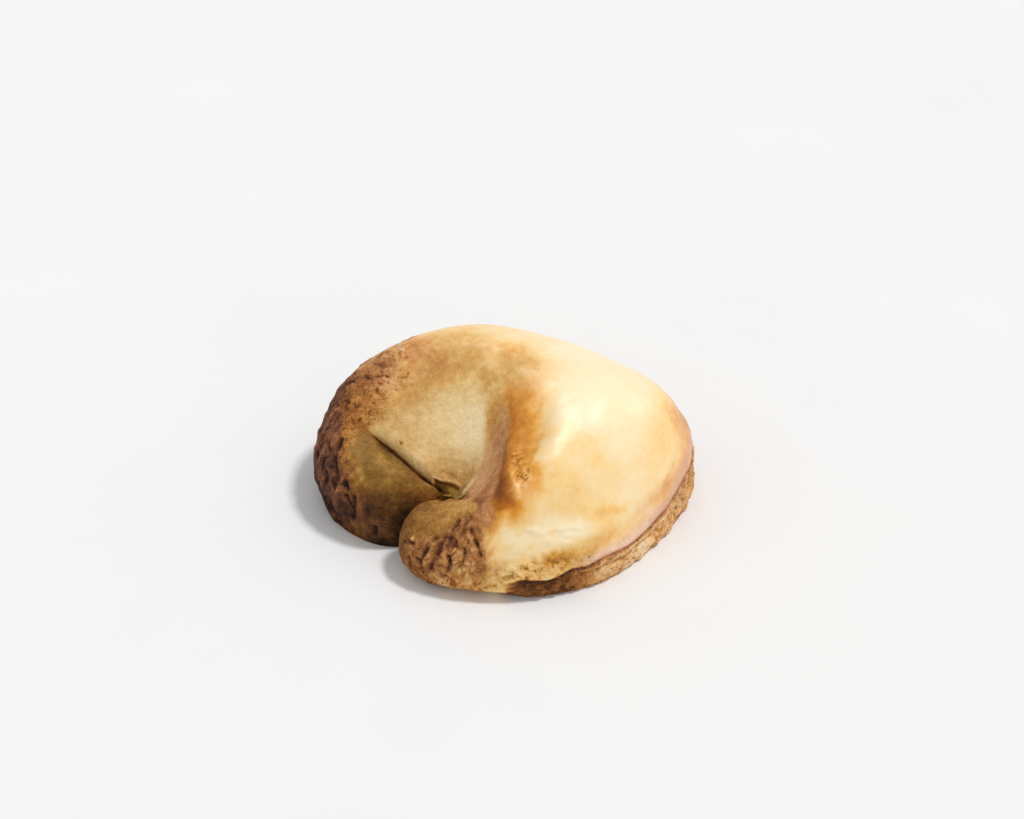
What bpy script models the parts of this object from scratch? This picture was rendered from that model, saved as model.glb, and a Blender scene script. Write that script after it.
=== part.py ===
"""Panzerotto: a folded, filled and baked half-moon of dough, bent until its tips meet.

Metres, +Z up, standing on its flat base at z = 0, with the middle of its outline on the origin.
The crust is one closed skin of spokes that run out from the bottom of the hollow in the bend:
up the inner wall to the crest, over the crown, down to the pressed seam and under the base.
"""

import bpy
import numpy as np

# The hollow in the bend, above the table: the point that every spoke starts from
PIT_HEIGHT = 0.0135

# Reach of the pressed rim from the pit, by heading (degrees from +X, anticlockwise)
RIM_REACH = (
    (0, 0.0645), (20, 0.0775), (40, 0.0778), (65, 0.0728), (112, 0.0644), (143, 0.0532),
    (166, 0.0421), (186, 0.0301), (208, 0.0218), (238, 0.0266), (284, 0.0332), (318, 0.0440),
    (350, 0.0576),
)
# Height of the seam above the table
SEAM_HEIGHT = ((0, 0.0075), (95, 0.0075), (150, 0.0100), (208, 0.0082), (284, 0.0052), (320, 0.0071))
# The crest is where the inner wall of the bend turns over, the crown is the highest line outside it
CREST_REACH = (
    (0, 0.0168), (40, 0.0215), (90, 0.0300), (138, 0.0318), (158, 0.0224), (182, 0.0146),
    (210, 0.0090), (250, 0.0115), (290, 0.0154), (330, 0.0157),
)
CREST_HEIGHT = (
    (0, 0.0345), (40, 0.0405), (85, 0.0425), (130, 0.0356), (158, 0.0262), (190, 0.0228),
    (222, 0.0182), (262, 0.0210), (300, 0.0248), (335, 0.0306),
)
CROWN_REACH = (
    (0, 0.0360), (60, 0.0370), (110, 0.0378), (140, 0.0345), (162, 0.0238), (190, 0.0137),
    (215, 0.0102), (255, 0.0144), (284, 0.0180), (315, 0.0278), (340, 0.0336),
)
CROWN_HEIGHT = (
    (0, 0.0443), (45, 0.0460), (70, 0.0466), (110, 0.0410), (130, 0.0369), (150, 0.0300),
    (180, 0.0252), (222, 0.0186), (262, 0.0215), (284, 0.0240), (315, 0.0330), (340, 0.0403),
)
CREST_TO_CROWN = 0.0005
# How the inner wall climbs: below 1 it rises at once, above 1 it stays low and steepens later
WALL_BEND = (
    (0, 1.50), (50, 1.45), (95, 1.12), (145, 0.74), (185, 0.45), (262, 0.50), (300, 1.08), (335, 1.44),
)
# Width over which the wall rolls over the crest
CREST_ROLL = ((0, 0.0030), (60, 0.0055), (100, 0.0064), (145, 0.0040), (200, 0.0031), (280, 0.0030))
# Share of the rim that is pressed to a separate lip (0 is a plain rounded foot)
PRESSED = (
    (0, 1.0), (70, 1.0), (112, 0.7), (130, 0.4), (150, 0.05), (200, 0.0), (270, 0.0), (302, 0.5), (330, 0.95),
)
# Fullness of the outer side, between a cone (1) and a box
SIDE_FULLNESS = ((0, 2.10), (40, 2.00), (80, 2.12), (200, 2.20), (262, 2.00), (310, 1.85))

# The notch where the two tips touch
NOTCH_HEADING = 208.0
NOTCH_HALF_ANGLE = 5.0
NOTCH_CUT_IN = 0.60
NOTCH_CUT_DOWN = 0.55
NOTCH_FLOOR = 0.0081

# The crease at the elbow runs out from the pit, turning a little, and fades towards its end
CREASE_HEADING = 162.0
CREASE_TURN = 14.0
CREASE_LENGTH = 0.0350
CREASE_DEPTH = 0.0042
CREASE_STEEP_SIDE = 0.0009
CREASE_GENTLE_SIDE = 0.0036
CREASE_START = 0.0030

# Folds in the skin of the arm: (heading, half angle, height, reach from the crest, half width)
ARM_FOLDS = (
    (335.0, 55.0, 0.0017, 0.0005, 0.0026),
    (348.0, 22.0, -0.0016, 0.0075, 0.0036),
)
# Flare over the lip: (heading, half angle, height, place between crown and rim, half width)
LIP_FLARES = (
    (322.0, 26.0, -0.0026, 0.66, 0.20),
    (325.0, 30.0, 0.0012, 0.93, 0.06),
)
LIP_GROOVE_DEPTH = 0.0015
LIP_GROOVE_PLACE = 0.10
LIP_GROOVE_HALF_WIDTH = 0.09
LIP_UNDERCUT = 0.0012
LIP_CURVE = 6.0
FOOT_UNDERCUT = 0.0050
FOOT_CURVE = 1.8

# Spacing of the spokes in degrees, closer in two sectors (first, last, step), and rows along a spoke
SPOKE_STEP = 4.0
CREASE_SPOKES = (142.0, 164.0, 1.6)
NOTCH_SPOKES = (200.0, 216.0, 2.0)
OUTLINE_STEP = 0.5
TOP_ROWS = 26
SIDE_ROWS = 5
BASE_ROWS = 3

CRUST_COLOUR = (0.62, 0.33, 0.12, 1.0)
CRUST_ROUGHNESS = 0.45
FACET_ANGLE = np.radians(50.0)


def clear_scene():
    """Remove every object of the open scene."""
    for thing in list(bpy.data.objects):
        bpy.data.objects.remove(thing, do_unlink=True)


def around(stations, headings):
    """Read a closed, smooth curve through (heading, value) stations at the given headings."""
    at, value = np.array(stations, dtype=float).T
    at = np.concatenate((at - 360.0, at, at + 360.0))
    value = np.tile(value, 3)
    gap = np.diff(at)
    slope = np.diff(value) / gap
    tangent = np.zeros_like(value)
    tangent[1:-1] = (slope[:-1] * gap[1:] + slope[1:] * gap[:-1]) / (gap[1:] + gap[:-1])
    turned = np.asarray(headings) % 360.0
    i = np.clip(np.searchsorted(at, turned, side="right") - 1, 0, len(gap) - 1)
    t = (turned - at[i]) / gap[i]
    ease = t * t * (3.0 - 2.0 * t)
    lead_in = t * (1.0 - t) ** 2 * gap[i] * tangent[i]
    lead_out = t * t * (t - 1.0) * gap[i] * tangent[i + 1]
    return value[i] * (1.0 - ease) + value[i + 1] * ease + lead_in + lead_out


def bell(x):
    """A bump of height 1 at x = 0 that has nearly died out at x = 2."""
    return np.exp(-x * x)


def turn_from(heading, headings):
    """Signed turn in degrees from a heading to each of the headings, between -180 and 180."""
    return (headings - heading + 180.0) % 360.0 - 180.0


def soft_lower(a, b, roll):
    """The lower of two surfaces, with the corner between them rolled over the given width."""
    mix = np.clip(0.5 + 0.5 * (b - a) / roll, 0.0, 1.0)
    return b * (1.0 - mix) + a * mix - roll * mix * (1.0 - mix)


def spoke_headings():
    """Headings of the spokes: even steps, closer together at the crease and the notch."""
    closer = (CREASE_SPOKES, NOTCH_SPOKES)
    even = np.arange(0.0, 360.0, SPOKE_STEP)
    for first, last, _ in closer:
        even = even[(even < first - 0.5 * SPOKE_STEP) | (even > last + 0.5 * SPOKE_STEP)]
    fine = [np.arange(first, last + 0.5 * step, step) for first, last, step in closer]
    return np.sort(np.concatenate([even] + fine))


def notch_share(headings):
    """How deep in the notch each heading lies: 1 in its corner, falling off to both sides."""
    return np.exp(-np.abs(turn_from(NOTCH_HEADING, headings)) / NOTCH_HALF_ANGLE)


def rim_reach(headings):
    """Reach of the rim, drawn in at the notch."""
    return around(RIM_REACH, headings) * (1.0 - NOTCH_CUT_IN * notch_share(headings))


def pit_place():
    """Where the pit lies when the middle of the rim's outline is on the origin."""
    headings = np.arange(0.0, 360.0, OUTLINE_STEP)
    reach = rim_reach(headings)
    outline = np.stack((reach * np.cos(np.radians(headings)), reach * np.sin(np.radians(headings))))
    return -0.5 * (outline.min(axis=1) + outline.max(axis=1))


def crust_rows(headings):
    """Reach and height of every row of the skin, from the pit outwards and under the base."""
    kept = 1.0 - NOTCH_CUT_IN * notch_share(headings)
    sunk = 1.0 - NOTCH_CUT_DOWN * notch_share(headings)
    rim = rim_reach(headings)
    seam = around(SEAM_HEIGHT, headings)
    crest = around(CREST_REACH, headings) * kept
    crest_up = NOTCH_FLOOR + (around(CREST_HEIGHT, headings) - NOTCH_FLOOR) * sunk
    crown = np.maximum(around(CROWN_REACH, headings) * kept, crest + CREST_TO_CROWN)
    crown_up = NOTCH_FLOOR + (around(CROWN_HEIGHT, headings) - NOTCH_FLOOR) * sunk
    bend = around(WALL_BEND, headings)
    roll = around(CREST_ROLL, headings)
    pressed = np.clip(around(PRESSED, headings), 0.0, 1.0)
    fullness = around(SIDE_FULLNESS, headings)

    # Top: the lower of the inner wall and the domed outside
    along = np.linspace(0.0, 1.0, TOP_ROWS + 1)[1:, None]
    reach = rim * np.sin(along * np.pi / 2.0)
    wall = PIT_HEIGHT + (crest_up - PIT_HEIGHT) * (reach / crest) ** bend
    past_crown = np.clip((reach - crown) / (rim - crown), 0.0, 1.0)
    outside = seam + (crown_up - seam) * np.clip(1.0 - past_crown ** fullness, 0.0, 1.0) ** (1.0 / fullness)
    rise = crown_up - crest_up
    before_crown = (crown - reach) / (crown - crest)
    shoulder = crown_up - rise * np.clip(before_crown, 0.0, 1.0) ** 2
    dome = np.where(reach < crown, shoulder, outside)
    height = soft_lower(wall, dome, roll)
    for heading, half_angle, rise, from_crest, half_width in ARM_FOLDS:
        strength = rise * bell(turn_from(heading, headings) / half_angle)
        height = height + strength * bell((reach - crest - from_crest) / half_width)
    for heading, half_angle, rise, place, half_width in LIP_FLARES:
        strength = rise * bell(turn_from(heading, headings) / half_angle)
        height = height + strength * bell((past_crown - place) / half_width)
    height = height - crease_depth(reach, headings)

    # Side: down from the seam to the base, over the groove of the pressed lip
    down = np.linspace(0.0, 1.0, SIDE_ROWS + 1)[1:, None]
    groove = LIP_GROOVE_DEPTH * bell((down - LIP_GROOVE_PLACE) / LIP_GROOVE_HALF_WIDTH)
    lip = pressed * (groove + LIP_UNDERCUT * down ** LIP_CURVE)
    foot = (1.0 - pressed) * FOOT_UNDERCUT * down ** FOOT_CURVE
    side_reach = rim - lip - foot
    side_height = seam * (1.0 - down)

    # Base: flat rings that close in on the middle
    inward = np.linspace(1.0, 0.0, BASE_ROWS + 1)[1:-1, None]
    base_reach = side_reach[-1] * inward
    base_height = np.zeros_like(base_reach)
    return np.vstack((reach, side_reach, base_reach)), np.vstack((height, side_height, base_height))


def crease_depth(reach, headings):
    """Depth of the elbow's crease: steep on the wall's side, gentle on the side of the lobe."""
    heading = CREASE_HEADING - CREASE_TURN * reach / CREASE_LENGTH
    beside = reach * np.radians(turn_from(heading, headings))
    width = np.where(beside < 0.0, CREASE_STEEP_SIDE, CREASE_GENTLE_SIDE)
    fade_out = np.clip(1.0 - (reach / CREASE_LENGTH) ** 3, 0.0, 1.0)
    fade_in = np.clip(reach / CREASE_START, 0.0, 1.0)
    return CREASE_DEPTH * fade_out * fade_in * np.exp(-np.abs(beside) / width)


def crust_mesh(name):
    """Mesh of the whole skin: the rows joined into rings, closed by a fan at each end."""
    headings = spoke_headings()
    reach, height = crust_rows(headings)
    rows, spokes = reach.shape
    turn = np.radians(headings)
    x, y = pit_place()
    ring = np.stack((x + reach * np.cos(turn), y + reach * np.sin(turn), height), -1)
    ends = ((x, y, PIT_HEIGHT), (x, y, 0.0))
    points = np.vstack((ring.reshape(-1, 3), ends))
    pit, base_middle = rows * spokes, rows * spokes + 1
    last = (rows - 1) * spokes
    faces = []
    for j in range(spokes):
        k = (j + 1) % spokes
        faces.append((pit, j, k))
        for i in range(0, last, spokes):
            faces.append((i + j, i + spokes + j, i + spokes + k, i + k))
        faces.append((base_middle, last + k, last + j))
    mesh = bpy.data.meshes.new(name)
    mesh.from_pydata(points.tolist(), [], faces)
    mesh.shade_smooth()
    mesh.set_sharp_from_angle(angle=FACET_ANGLE)
    return mesh


def crust_material():
    """Baked, egg-washed dough."""
    material = bpy.data.materials.new("baked_crust")
    material.use_nodes = True
    shader = material.node_tree.nodes["Principled BSDF"]
    shader.inputs["Base Color"].default_value = CRUST_COLOUR
    shader.inputs["Roughness"].default_value = CRUST_ROUGHNESS
    shader.inputs["Metallic"].default_value = 0.0
    return material


def main():
    """Build the turnover as one object."""
    clear_scene()
    panzerotto = bpy.data.objects.new("panzerotto", crust_mesh("panzerotto"))
    panzerotto.data.materials.append(crust_material())
    bpy.context.scene.collection.objects.link(panzerotto)


main()
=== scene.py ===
"""Looks of the panzerotto: a fine skin over the solid, with its folds, cracks, crumbs and browning.

The skin is one surface of two parameters, heading and row: spokes run out from the pit, the bottom of the
hollow, over the crest and the crown, down to the seam, over the pressed lip and under the base. Its sizes
and places are in millimetres until the mesh is made, and headings are in degrees round the pit.
"""
from functools import partial
from types import SimpleNamespace

import bpy
import numpy as np
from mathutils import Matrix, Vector


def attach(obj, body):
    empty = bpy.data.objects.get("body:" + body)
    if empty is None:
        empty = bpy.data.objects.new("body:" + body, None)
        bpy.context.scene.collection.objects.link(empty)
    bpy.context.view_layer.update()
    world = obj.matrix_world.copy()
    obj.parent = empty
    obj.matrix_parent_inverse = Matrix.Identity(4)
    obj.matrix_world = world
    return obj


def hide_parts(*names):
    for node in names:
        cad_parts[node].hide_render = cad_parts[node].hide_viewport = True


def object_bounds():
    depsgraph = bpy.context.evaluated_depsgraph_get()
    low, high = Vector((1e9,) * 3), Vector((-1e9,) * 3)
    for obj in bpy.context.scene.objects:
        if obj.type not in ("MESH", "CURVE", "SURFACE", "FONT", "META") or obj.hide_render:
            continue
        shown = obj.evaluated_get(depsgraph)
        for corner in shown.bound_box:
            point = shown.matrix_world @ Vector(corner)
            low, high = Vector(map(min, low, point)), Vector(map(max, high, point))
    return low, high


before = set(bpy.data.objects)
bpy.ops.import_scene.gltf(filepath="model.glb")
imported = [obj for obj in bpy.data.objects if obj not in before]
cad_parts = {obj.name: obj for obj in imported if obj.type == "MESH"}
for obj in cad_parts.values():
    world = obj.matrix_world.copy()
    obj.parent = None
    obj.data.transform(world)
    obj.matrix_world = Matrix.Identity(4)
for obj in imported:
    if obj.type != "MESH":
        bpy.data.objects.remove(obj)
cad_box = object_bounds()

MM = 0.001

# ---------------- form, as in the solid

PIT_HEIGHT = 13.5
CREST_TO_CROWN = 0.5
FOOT_CURVE = 1.8

# stations round the skin: heading, then a reach from the pit, a height, a roll's width or an undercut
RIM_REACH = (
    (0, 64.3), (20, 77.5), (40, 77.8), (65, 72.8), (112, 64.4), (143, 53.2), (166, 42.1), (186, 30.1),
    (208, 21.8), (238, 26.6), (284, 33.2), (318, 44), (334, 51), (350, 58.4),
)
SEAM_HEIGHT = ((0, 7.5), (95, 7.5), (150, 10), (208, 8.2), (284, 5.2), (320, 7.1))
CREST_REACH = (
    (0, 16.8), (40, 21.5), (90, 30), (138, 31.8), (158, 22.4), (182, 14.6), (210, 9), (250, 11.5),
    (290, 15.4), (330, 15.7),
)
CREST_HEIGHT = (
    (0, 34.5), (40, 40.5), (85, 42.5), (130, 35.6), (158, 26.2), (190, 22.8), (222, 18.2), (262, 21),
    (300, 24.8), (335, 30.6),
)
CROWN_REACH = (
    (0, 38.5), (60, 37), (110, 37.8), (140, 34.5), (162, 23.8), (190, 13.7), (215, 10.2), (255, 14.4),
    (284, 18), (315, 27.8), (340, 33.6),
)
CROWN_HEIGHT = (
    (0, 44.3), (45, 46.3), (70, 46.4), (110, 41.3), (130, 37), (150, 29.7), (180, 25.2), (222, 18.6),
    (262, 21.5), (284, 24), (315, 33), (340, 40.3),
)
CREST_ROLL = ((0, 5), (60, 8.5), (100, 9), (145, 4.5), (200, 3.1), (280, 3), (320, 4))
FOOT_UNDERCUT = (
    (0, 5), (150, 5), (180, 2.5), (200, 3), (222, 5), (262, 5.5), (276, 8.5), (288, 12), (297, 10),
    (304, 6), (316, 5),
)

# stations round the skin: heading, then the power of a curve, or the share to which the lip is pressed
WALL_BEND = (
    (0, 1.15), (50, 1.2), (95, 1.05), (145, 0.74), (185, 0.45), (262, 0.5), (300, 0.95), (335, 1.12),
)
SIDE_FULLNESS = (
    (0, 1.95), (20, 2.08), (40, 1.8), (60, 1.85), (90, 2.14), (120, 2.05), (150, 2.23), (200, 2.2),
    (262, 2), (310, 1.85),
)
PRESSED = (
    (0, 1), (70, 1), (112, 0.7), (130, 0.4), (150, 0.05), (200, 0), (270, 0), (302, 0.5), (330, 0.95),
)

# waves in one turn, where they start in radians, height
SEAM_WAVES = ((7, 1, 0.35), (13, 2, 0.3), (23, 0.5, 0.22), (41, 4, 0.14))

NOTCH_HEADING = 208
NOTCH_HALF_ANGLE = 5
NOTCH_CUT_IN = 0.6
NOTCH_CUT_DOWN = 0.55
NOTCH_FLOOR = 8.1

# the crease at the elbow: reach, heading
CREASE_PATH = (
    (0, 158), (6, 155), (10, 154.5), (14, 152.8), (19, 150.8), (22, 150), (27, 150), (31, 150), (35, 148.5),
)
CREASE_LENGTH = 35
CREASE_DEPTH = 4.2
CREASE_STEEP_SIDE = 0.9
CREASE_GENTLE_SIDE = 3.6
CREASE_START = 3

# heading, half angle, lift, distance from the crest, half width
ARM_FOLDS = ((335, 55, 1.7, 0.5, 2.6), (348, 22, -1.6, 7.5, 3.6))
# heading, half angle, lift, and the place and half width as shares of the way from crown to rim
LIP_FLARES = ((322, 26, -2.6, 0.66, 0.2), (325, 30, 1.2, 0.93, 0.06))
LIP_GROOVE_DEPTH = 1.5
LIP_GROOVE_PLACE = 0.1
LIP_GROOVE_HALF_WIDTH = 0.09
LIP_UNDERCUT = 1.2
LIP_CURVE = 6

SPOKES = 530
TOP_ROWS = 160
ROW_SPREAD = 1.3
SIDE_ROWS = 20
BASE_ROWS = 5
OUTLINE_STEP = 0.5
LEAST_AREA = 1e-6


def around(stations, headings):
    """Closed, smooth curve through (heading, value) stations: a cubic between each two, slopes shared."""
    at, value = np.array(stations, dtype=float).T
    at = np.concatenate((at - 360, at, at + 360))
    value = np.tile(value, 3)
    gap = np.diff(at)
    slope = np.diff(value) / gap
    tangent = np.zeros_like(value)
    tangent[1:-1] = (slope[:-1] * gap[1:] + slope[1:] * gap[:-1]) / (gap[1:] + gap[:-1])
    turned = np.asarray(headings) % 360
    i = np.clip(np.searchsorted(at, turned, side="right") - 1, 0, len(gap) - 1)
    t = (turned - at[i]) / gap[i]
    ease = t * t * (3 - 2 * t)
    lead_in = t * (1 - t) ** 2 * gap[i] * tangent[i]
    lead_out = t * t * (t - 1) * gap[i] * tangent[i + 1]
    return value[i] * (1 - ease) + value[i + 1] * ease + lead_in + lead_out


def bell(x):
    """A bump of height 1 at x = 0 that has nearly died out at x = 2: e to the minus x squared."""
    return np.exp(-x * x)


def rise(x, low, high):
    """0 below low, 1 above high, with an S-curve, 3 t squared less 2 t cubed, between them."""
    t = np.clip((x - low) / (high - low), 0, 1)
    return t * t * (3 - 2 * t)


def fall(x, low, high):
    """1 below low, 0 above high, with an S-curve between them."""
    return 1 - rise(x, low, high)


def toward(value, goal, share):
    """Value moved towards the goal by a share between 0 and 1."""
    return value + (goal - value) * np.clip(share, 0, 1)


def turn_from(heading, headings):
    """Signed turn in degrees from a heading to each of the headings, between -180 and 180."""
    return (headings - heading + 180) % 360 - 180


def sector(headings, first, last, blur):
    """1 inside the sector from first to last heading, falling to 0 over the blur on both sides."""
    half = 0.5 * (last - first)
    return fall(np.abs(turn_from(first + half, headings)), half - 0.5 * blur, half + 0.5 * blur)


def soft_lower(a, b, roll):
    """The lower of two surfaces, with the corner between them rolled over the given width."""
    mix = np.clip(0.5 + 0.5 * (b - a) / roll, 0, 1)
    return b * (1 - mix) + a * mix - roll * mix * (1 - mix)


def notch_share(headings):
    """How deep in the notch each heading lies: 1 in its corner, dying out by e to the minus turn."""
    return np.exp(-np.abs(turn_from(NOTCH_HEADING, headings)) / NOTCH_HALF_ANGLE)


def rim_outline(headings):
    """Reach of the rim, drawn in at the notch, and its x and y from the pit."""
    reach = around(RIM_REACH, headings) * (1 - NOTCH_CUT_IN * notch_share(headings))
    turn = np.radians(headings)
    return reach, np.stack((reach * np.cos(turn), reach * np.sin(turn)))


def pit_place():
    """Where the pit lies when the middle of the rim's outline is on the origin."""
    outline = rim_outline(np.arange(0, 360, OUTLINE_STEP))[1]
    return -0.5 * (outline.min(axis=1) + outline.max(axis=1))


def spoke_headings():
    """Headings at even distances along the rim, closer where the crust is rough: the running sum of the
    rim's length, each piece times its closeness, turned round to give the heading for a sum.
    """
    turned = np.arange(0, 360 + OUTLINE_STEP, OUTLINE_STEP)
    step = np.hypot(*np.diff(rim_outline(turned)[1]))
    closeness = 1 + sector(turned[:-1], 100, 345, 40) + sector(turned[:-1], 205, 295, 30)
    length = np.concatenate(([0], np.cumsum(step * closeness)))
    return np.interp(np.linspace(0, length[-1], SPOKES, endpoint=False), length, turned)


def beside_crease(reach, headings):
    """Signed distance round the pit from the crease's path: negative on the wall, positive on the lobe."""
    path = np.interp(reach, *np.array(CREASE_PATH).T)
    return reach * np.radians(turn_from(path, headings))


def seam_height(headings, pressed):
    """Height of the seam, with a few low sine waves laid on it where the lip is pressed."""
    turn = np.radians(headings)
    wave = sum(high * np.sin(count * turn + start) for count, start, high in SEAM_WAVES)
    return around(SEAM_HEIGHT, headings) + wave * pressed


def crease_depth(reach, headings):
    """Depth of the elbow's crease: e to the minus distance, steep by the wall and gentle on the lobe."""
    beside = beside_crease(reach, headings)
    width = np.where(beside < 0, CREASE_STEEP_SIDE, CREASE_GENTLE_SIDE)
    fade_out = np.clip(1 - (reach / CREASE_LENGTH) ** 3, 0, 1)
    fade_in = np.clip(reach / CREASE_START, 0, 1)
    return CREASE_DEPTH * fade_out * fade_in * np.exp(-np.abs(beside) / width)


def smooth_form(headings):
    """Rows of the smooth skin: for each row and spoke the reach and height, and where the row lies.

    Top rows: the lower of the inner wall, a power curve from pit to crest, and the domed outside, a
    parabola from crest to crown and a superellipse from crown to seam. Side rows: down over the lip, whose
    groove is a bell and whose undercut a power curve. Base rows: flat.
    """
    kept = 1 - NOTCH_CUT_IN * notch_share(headings)
    sunk = 1 - NOTCH_CUT_DOWN * notch_share(headings)
    pressed = np.clip(around(PRESSED, headings), 0, 1)
    rim = rim_outline(headings)[0]
    seam = seam_height(headings, pressed)
    crest = around(CREST_REACH, headings) * kept
    crest_up = NOTCH_FLOOR + (around(CREST_HEIGHT, headings) - NOTCH_FLOOR) * sunk
    crown = np.maximum(around(CROWN_REACH, headings) * kept, crest + CREST_TO_CROWN)
    crown_up = NOTCH_FLOOR + (around(CROWN_HEIGHT, headings) - NOTCH_FLOOR) * sunk
    fullness = around(SIDE_FULLNESS, headings)

    along = np.linspace(0, 1, TOP_ROWS + 1)[1:, None]
    reach = rim * np.sin(along ** ROW_SPREAD * np.pi / 2)
    wall = PIT_HEIGHT + (crest_up - PIT_HEIGHT) * (reach / crest) ** around(WALL_BEND, headings)
    past_crown = np.clip((reach - crown) / (rim - crown), 0, 1)
    outside = seam + (crown_up - seam) * np.clip(1 - past_crown ** fullness, 0, 1) ** (1 / fullness)
    before_crown = np.clip((crown - reach) / (crown - crest), 0, 1)
    shoulder = crown_up - (crown_up - crest_up) * before_crown ** 2
    height = soft_lower(wall, np.where(reach < crown, shoulder, outside), around(CREST_ROLL, headings))
    for heading, half_angle, lift, from_crest, half_width in ARM_FOLDS:
        strength = lift * bell(turn_from(heading, headings) / half_angle)
        height = height + strength * bell((reach - crest - from_crest) / half_width)
    for heading, half_angle, lift, place, half_width in LIP_FLARES:
        strength = lift * bell(turn_from(heading, headings) / half_angle)
        height = height + strength * bell((past_crown - place) / half_width)
    height = height - crease_depth(reach, headings)

    down = np.linspace(0, 1, SIDE_ROWS + 1)[1:, None]
    groove = LIP_GROOVE_DEPTH * bell((down - LIP_GROOVE_PLACE) / LIP_GROOVE_HALF_WIDTH)
    lip = pressed * (groove + LIP_UNDERCUT * down ** LIP_CURVE)
    foot = (1 - pressed) * around(FOOT_UNDERCUT, headings) * down ** FOOT_CURVE
    side_reach = rim - lip - foot
    base_reach = side_reach[-1] * np.linspace(1, 0, BASE_ROWS + 1)[1:-1, None]

    return SimpleNamespace(
        reach=np.vstack((reach, side_reach, base_reach)),
        height=np.vstack((height, seam * (1 - down), np.zeros_like(base_reach))),
        past_crown=np.vstack((past_crown, np.ones((SIDE_ROWS + BASE_ROWS - 1, headings.size)))),
        down=np.concatenate((np.zeros(TOP_ROWS), down[:, 0], np.ones(BASE_ROWS - 1)))[:, None],
        pressed=pressed,
    )


# ---------------- noise and marks over space

def scatter(cell, seed):
    """A repeatable number from 0 to 1 for each whole-number cell: its bits stirred by odd multipliers."""
    stir = np.uint64(seed * 2654435761 + 1013904223)
    for axis, odd in enumerate((73856093, 19349663, 83492791)):
        stir = stir ^ (cell[..., axis].astype(np.int64).astype(np.uint64) * np.uint64(odd))
        stir = (stir ^ (stir >> np.uint64(29))) * np.uint64(0xBF58476D1CE4E5B9)
    stir = stir ^ (stir >> np.uint64(32))
    return (stir & np.uint64(0xFFFFFF)).astype(float) / 0xFFFFFF


def lumps(points, size, seed):
    """Smooth noise from -1 to 1: a number scattered to each lattice corner, blended by S-curves between."""
    at = points / size
    low = np.floor(at)
    t = at - low
    t = t * t * (3 - 2 * t)
    total = np.zeros(points.shape[:-1])
    for corner in np.ndindex(2, 2, 2):
        weight = np.prod(np.where(np.array(corner, dtype=bool), t, 1 - t), axis=-1)
        total += weight * scatter(low + corner, seed)
    return 2 * total - 1


def rough(points, size, seed, octaves=3):
    """Lumps of a size with finer, weaker lumps on them, each half as large and half as high."""
    total = np.zeros(points.shape[:-1])
    for k in range(octaves):
        total += lumps(points, size * 0.5 ** k, seed + k) * 0.5 ** k
    return total


def furrows(points, size, seed, half_width):
    """Winding lines where noise passes through 0: a bell of the noise over a half width, in noise."""
    return bell(rough(points, size, seed, 2) / half_width)


def stirred(points, share=1):
    """Places shaken by noise of two sizes, so that painted edges run unevenly."""
    shake = np.zeros_like(points)
    for size, far, seed in ((5, 1.2, 21), (1.8, 0.6, 31)):
        shake += share * far * np.stack([lumps(points, size, seed + axis) for axis in range(3)], -1)
    return points + shake


def stretched(points, run, share):
    """Places drawn together along a direction, so that noise read there comes out long along it."""
    run = np.array(run) / np.linalg.norm(run)
    return points - share * (points @ run)[..., None] * run


def stroke(points, places, half_width):
    """A soft round spot about one place, or a soft line through several: a bell of the distance to it."""
    marks = np.atleast_2d(places).astype(float)
    away = np.linalg.norm(points - marks[0], axis=-1)
    for start, end in zip(marks[:-1], marks[1:]):
        run = end - start
        t = np.clip((points - start) @ run / (run @ run), 0, 1)
        away = np.minimum(away, np.linalg.norm(points - start - t[..., None] * run, axis=-1))
    return bell(away / half_width)


def most(values):
    """The greatest of several masks at each place."""
    return np.maximum.reduce(list(values))


def strokes(points, runs, half_width):
    """The greatest of the strokes through several runs of places."""
    return most(stroke(points, places, half_width) for places in runs)


# ---------------- places on the skin

# where each zone begins or ends: heading, reach from the pit
GLAZE_EDGE = (
    (0, 15), (12, 16.5), (36, 19.5), (54, 23.8), (68, 28.3), (82, 33), (92, 36), (112, 35), (140, 32),
    (165, 30), (190, 30), (215, 50), (250, 60), (280, 60), (285, 40), (289, 26.5), (296, 22.2), (305, 20),
    (317, 17.8), (330, 16), (342, 15),
)
BOWL_EDGE = (
    (0, 5), (18, 6.2), (30, 8.8), (40, 11.2), (54, 15), (61, 18.5), (66, 20.5), (75, 22.2), (90, 24),
    (105, 25.5), (120, 26.5), (135, 28), (149, 29), (156, 20), (172, 4), (200, -3), (300, -3), (318, 1),
    (340, 3.8),
)
CRAG_EDGE = (
    (60, 75), (95, 60), (106, 48), (114, 36.5), (122, 31), (130, 30), (137, 29.2), (147, 29.6), (155, 30.8),
    (165, 31.8), (176, 30.3), (184, 28.5), (194, 25.2), (201, 22.2), (208, 21.5), (230, 60), (300, 80),
)
DARK_EDGE = (
    (60, 75), (100, 64), (116, 57), (128, 50), (142, 45.5), (152, 39.8), (164, 36.2), (172, 34.2),
    (180, 32), (188, 28.8), (198, 24.5), (210, 22.5), (235, 60), (300, 80),
)
TIP_EDGE = (
    (180, 19), (204, 16.2), (212, 14), (218, 10.5), (226, 7.6), (243, 7), (272, 8.4), (284, 12.8),
    (300, 20),
)
TORN_EDGE = (
    (0, 2.9), (12, 2.6), (40, 2.6), (58, 2.7), (78, 3), (94, 3.4), (108, 3.7), (122, 4.2), (142, 5.6),
    (148, 7), (165, 5.8), (185, 5.5), (205, 5.6), (222, 6.4), (245, 6.8), (270, 7.8), (285, 9.2), (292, 9),
    (300, 8), (312, 6.6), (323, 5.4), (334, 4.2), (350, 3.2),
)
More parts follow.
